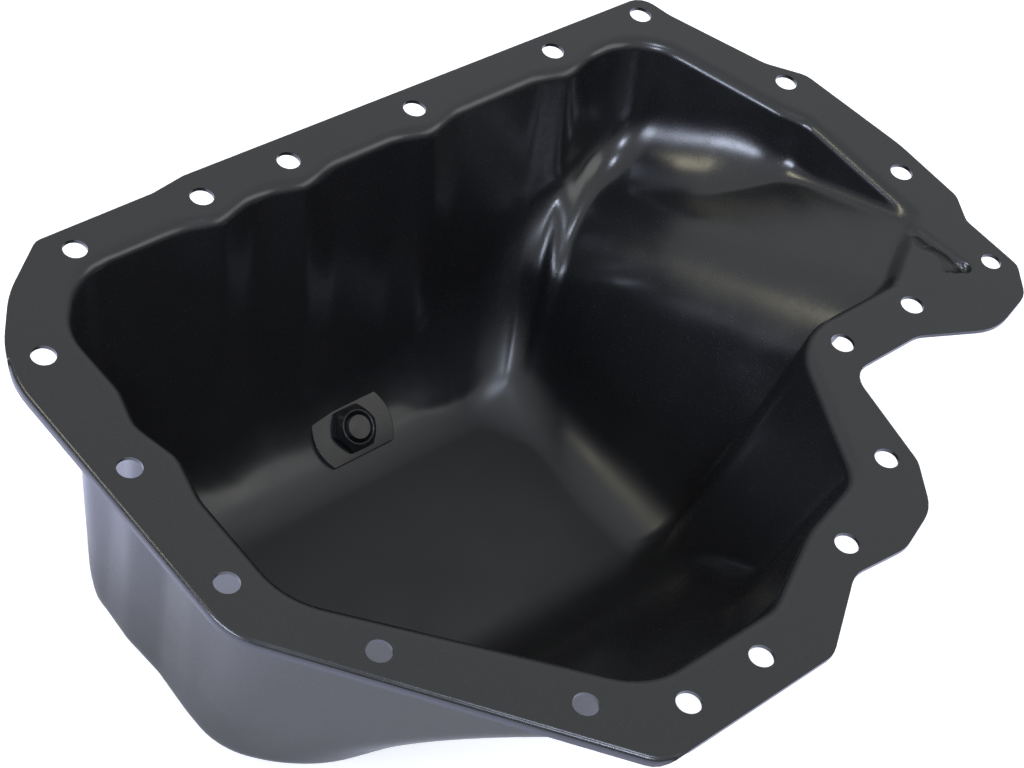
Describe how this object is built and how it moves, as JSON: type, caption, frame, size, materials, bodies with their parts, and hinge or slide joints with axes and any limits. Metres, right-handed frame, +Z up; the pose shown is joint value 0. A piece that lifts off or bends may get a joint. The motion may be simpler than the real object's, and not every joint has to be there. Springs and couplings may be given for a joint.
{
  "type": "engine oil pan",
  "caption": "Deep-drawn sheet steel oil pan with a bolting flange, a deep sump beside a shallow shelf, and a screwed drain plug in a welded nut.",
  "frame": {"origin": "middle of the underside of the box round the whole pan, which stands on its sump floor", "axes": "+X along the straight back rail towards the shelf, +Y towards the back rail, +Z up, out of the open top"},
  "size_m": [0.374, 0.2902, 0.1365],
  "materials": {
    "black_coat": "glossy black dip coat",
    "plug_steel": "black zinc plated",
    "washer_metal": "plain"
  },
  "bodies": {
    "pan": {"pan_pressing": "black_coat", "drain_boss_plate": "black_coat", "drain_weld_nut": "black_coat"},
    "washer": {"sealing_washer": "washer_metal"},
    "plug": {"drain_plug": "plug_steel"}
  },
  "joints": [
    {"name": "plug_travel", "type": "slide", "parent": "pan", "child": "washer", "axis": [0, 0.5878, -0.809], "range_m": [0, 0.013]},
    {"name": "plug_turn", "type": "hinge", "parent": "washer", "child": "plug", "pos_m": [-0.01793, 0.0916, 0.01032], "axis": [0, 0.5878, -0.809], "range_deg": [0, 3600]}
  ],
  "couplings": [
    {"joint": "plug_travel", "follows": "plug_turn", "m_per_rad": 0.00019894}
  ]
}
